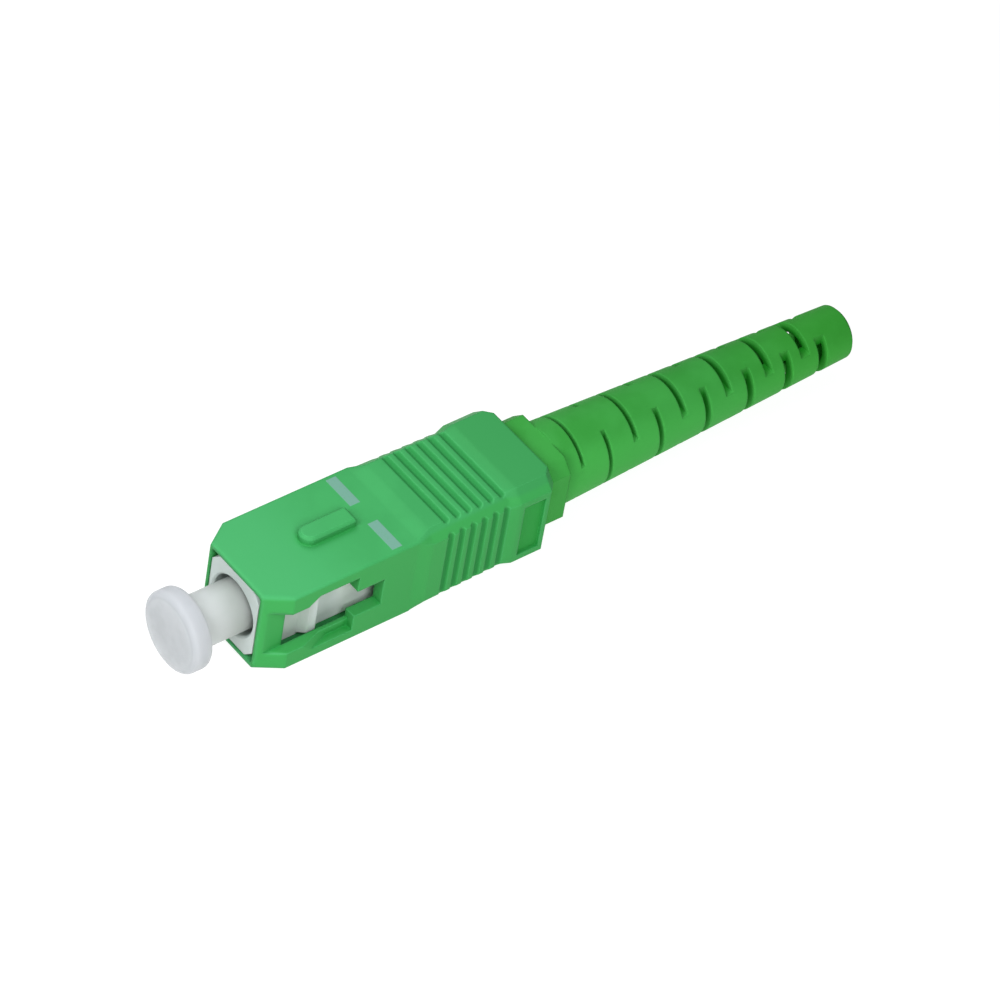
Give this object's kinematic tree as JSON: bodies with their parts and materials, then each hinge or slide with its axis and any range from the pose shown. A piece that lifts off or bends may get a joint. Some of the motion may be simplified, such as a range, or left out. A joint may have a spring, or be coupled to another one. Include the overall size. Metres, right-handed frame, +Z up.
{
  "type": "fibre optic connector",
  "caption": "Green push-pull square fibre connector: keyed sliding sleeve with latch windows, sprung ceramic ferrule under a dust cap, slotted strain-relief boot.",
  "frame": {"origin": "where the optical axis meets the front plane of the sleeve's nose", "axes": "+X along the optical axis towards the boot's tail, +Z up through the key"},
  "size_m": [0.0634, 0.0096, 0.0084],
  "materials": {
    "sleeve": "satin moulded",
    "frame": "satin moulded",
    "ferrule": "ground",
    "flange": "turned",
    "spring": "drawn wire",
    "post": "nickel plated",
    "ring": "annealed",
    "boot": "soft moulded",
    "cap": "milky"
  },
  "bodies": {
    "plug": {"plug_frame": "frame", "back_post": "post", "crimp_ring": "ring", "boot": "boot", "spring": "spring"},
    "sleeve": {"coupling_sleeve": "sleeve"},
    "ferrule": {"ferrule": "ferrule", "ferrule_flange": "flange"},
    "cap": {"dust_cap": "cap"}
  },
  "joints": [
    {"name": "sleeve_pull", "type": "slide", "parent": "plug", "child": "sleeve", "axis": [1, 0, 0], "range_m": [0, 0.00185]},
    {"name": "ferrule_push", "type": "slide", "parent": "plug", "child": "ferrule", "axis": [1, 0, 0], "range_m": [0, 0.001], "stiffness_N_per_m": 1000, "deforming": ["spring"]},
    {"name": "cap_pull", "type": "slide", "parent": "ferrule", "child": "cap", "axis": [-1, 0, 0], "range_m": [0, 0.009]}
  ]
}
